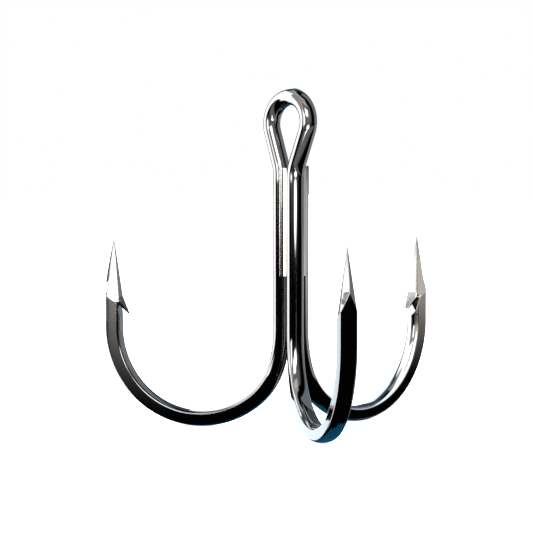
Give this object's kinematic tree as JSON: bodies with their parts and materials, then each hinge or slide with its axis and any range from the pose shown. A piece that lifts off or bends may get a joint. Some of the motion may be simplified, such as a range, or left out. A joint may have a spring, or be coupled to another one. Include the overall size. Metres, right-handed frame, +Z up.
{
  "type": "treble hook",
  "caption": "Treble fishing hook: barbed, forged hooks spread evenly around a brazed shank with a closed wire eye, in mirror-bright black nickel.",
  "frame": {"origin": "middle of the eye's round end", "axes": "+Z up the shank towards the eye's top; the eye lies across X and its hole looks along Y; the third hook points to +Y and the double wire's hooks to either side of -Y"},
  "size_m": [0.0416, 0.0362, 0.0409],
  "materials": {
    "hook_wire": "polished black nickel over high-carbon steel wire",
    "braze": "bright silver-coloured brazing alloy under the same thin plating"
  },
  "bodies": {
    "root": {"double_hook_wire": "hook_wire", "single_hook_wire": "hook_wire", "braze_filler": "braze"}
  },
  "joints": []
}
